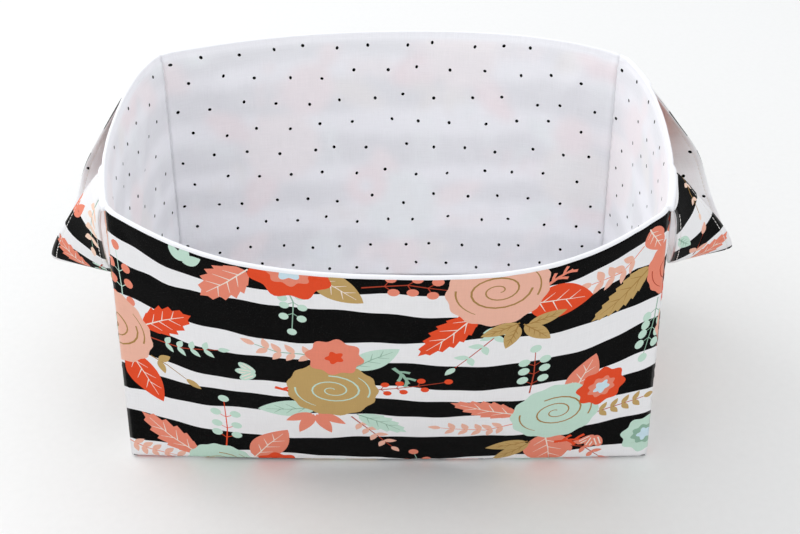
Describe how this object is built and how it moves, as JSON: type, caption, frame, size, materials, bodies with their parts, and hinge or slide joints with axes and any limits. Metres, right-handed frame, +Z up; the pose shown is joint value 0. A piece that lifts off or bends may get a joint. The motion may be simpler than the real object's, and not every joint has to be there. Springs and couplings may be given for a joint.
{
  "type": "fabric storage bin",
  "caption": "Open rectangular sewn fabric bin with bowed-out padded walls, contrast lining and a strap handle on each short side.",
  "frame": {"origin": "centre of the base rectangle, on its underside", "axes": "+Z up, +X to the right along the long sides, -Y towards the front long side"},
  "size_m": [0.4689, 0.3178, 0.2179],
  "materials": {
    "print_cotton": "matte printed quilting cotton: dark and light stripes under a small floral print",
    "lining_cotton": "matte white quilting cotton with small scattered dark dots",
    "fleece": "matte needled fleece",
    "interfacing": "matte stiffened cotton layers",
    "thread": "slightly glossy sewing thread"
  },
  "bodies": {
    "bin": {"outer_front": "print_cotton", "outer_back": "print_cotton", "outer_left": "print_cotton", "outer_right": "print_cotton", "outer_base": "print_cotton", "fleece_front": "fleece", "fleece_back": "fleece", "fleece_left": "fleece", "fleece_right": "fleece", "fleece_base": "fleece", "lining_front": "lining_cotton", "lining_back": "lining_cotton", "lining_left": "lining_cotton", "lining_right": "lining_cotton", "lining_base": "lining_cotton", "tab_left_front": "interfacing", "tab_left_back": "interfacing", "tab_right_front": "interfacing", "tab_right_back": "interfacing"},
    "handle_left": {"handle_left_face": "print_cotton", "handle_left_core": "interfacing", "handle_left_lining": "lining_cotton", "handle_left_stitching": "thread"},
    "handle_right": {"handle_right_face": "print_cotton", "handle_right_core": "interfacing", "handle_right_lining": "lining_cotton", "handle_right_stitching": "thread"}
  },
  "joints": [
    {"name": "handle_left_swing", "type": "hinge", "parent": "bin", "child": "handle_left", "pos_m": [-0.17896, -0.00355, 0.217], "axis": [-0.0311, 0.9995, 0], "range_deg": [0, 150]},
    {"name": "handle_right_swing", "type": "hinge", "parent": "bin", "child": "handle_right", "pos_m": [0.17896, -0.00355, 0.217], "axis": [-0.0311, -0.9995, 0], "range_deg": [0, 150]}
  ]
}
